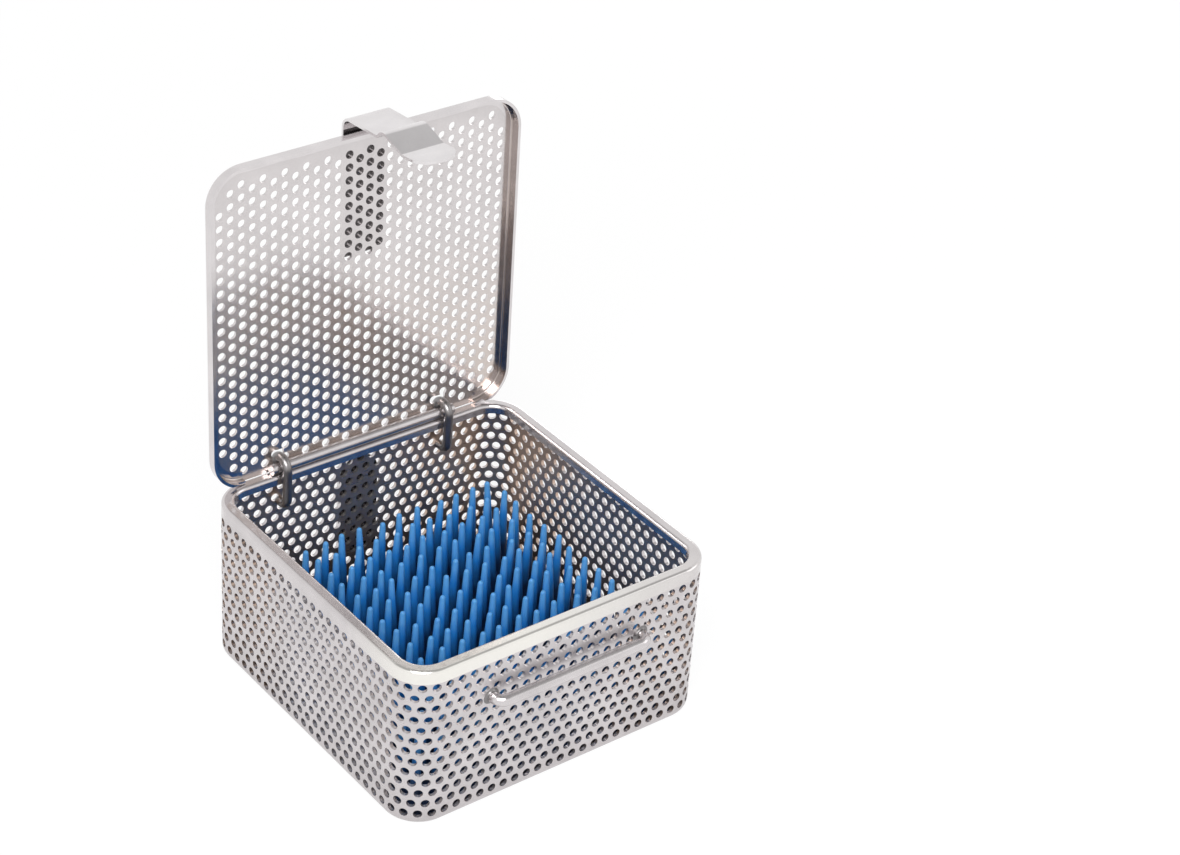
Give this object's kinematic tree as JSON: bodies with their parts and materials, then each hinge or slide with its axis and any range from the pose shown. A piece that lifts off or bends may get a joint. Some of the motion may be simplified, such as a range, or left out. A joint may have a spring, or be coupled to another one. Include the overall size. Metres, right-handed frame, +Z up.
{
  "type": "dental instrument cassette",
  "caption": "Small square perforated steel sterilising cassette with a hinged lid, spring latch, catch bar and silicone finger mat.",
  "frame": {"origin": "centre of the flat underside of the base", "axes": "+X to the right along the front wall, +Y towards the hinge, +Z up"},
  "size_m": [0.08, 0.086, 0.1259],
  "materials": {
    "perforated_steel": "electropolished perforated stainless sheet",
    "rim_steel": "polished folded stainless sheet",
    "wire_steel": "drawn stainless wire",
    "plain_steel": "satin stainless sheet",
    "polished_steel": "polished stainless spring strip",
    "silicone": "satin blue silicone"
  },
  "bodies": {
    "basket": {"floor_panel": "perforated_steel", "base_edge": "perforated_steel", "wall_front": "perforated_steel", "wall_right": "perforated_steel", "wall_back": "perforated_steel", "wall_left": "perforated_steel", "corner_front_right": "perforated_steel", "corner_back_right": "perforated_steel", "corner_back_left": "perforated_steel", "corner_front_left": "perforated_steel", "rim_frame": "rim_steel", "catch_bar": "wire_steel", "eye_left": "wire_steel", "eye_right": "wire_steel", "back_tab": "plain_steel", "finger_mat": "silicone"},
    "lid": {"lid_panel": "perforated_steel", "lid_frame": "rim_steel", "hinge_rod": "wire_steel", "latch_strip": "polished_steel"},
    "latch": {"latch_spring": "polished_steel"}
  },
  "joints": [
    {"name": "lid_hinge", "type": "hinge", "parent": "basket", "child": "lid", "pos_m": [0, 0.03825, 0.042], "axis": [1, 0, 0], "range_deg": [0, 90.5]},
    {"name": "latch_flex", "type": "hinge", "parent": "lid", "child": "latch", "pos_m": [0, 0.04153, 0.12012], "axis": [-1, 0, 0], "range_deg": [0, 5], "stiffness_Nm_per_rad": 0.3}
  ]
}
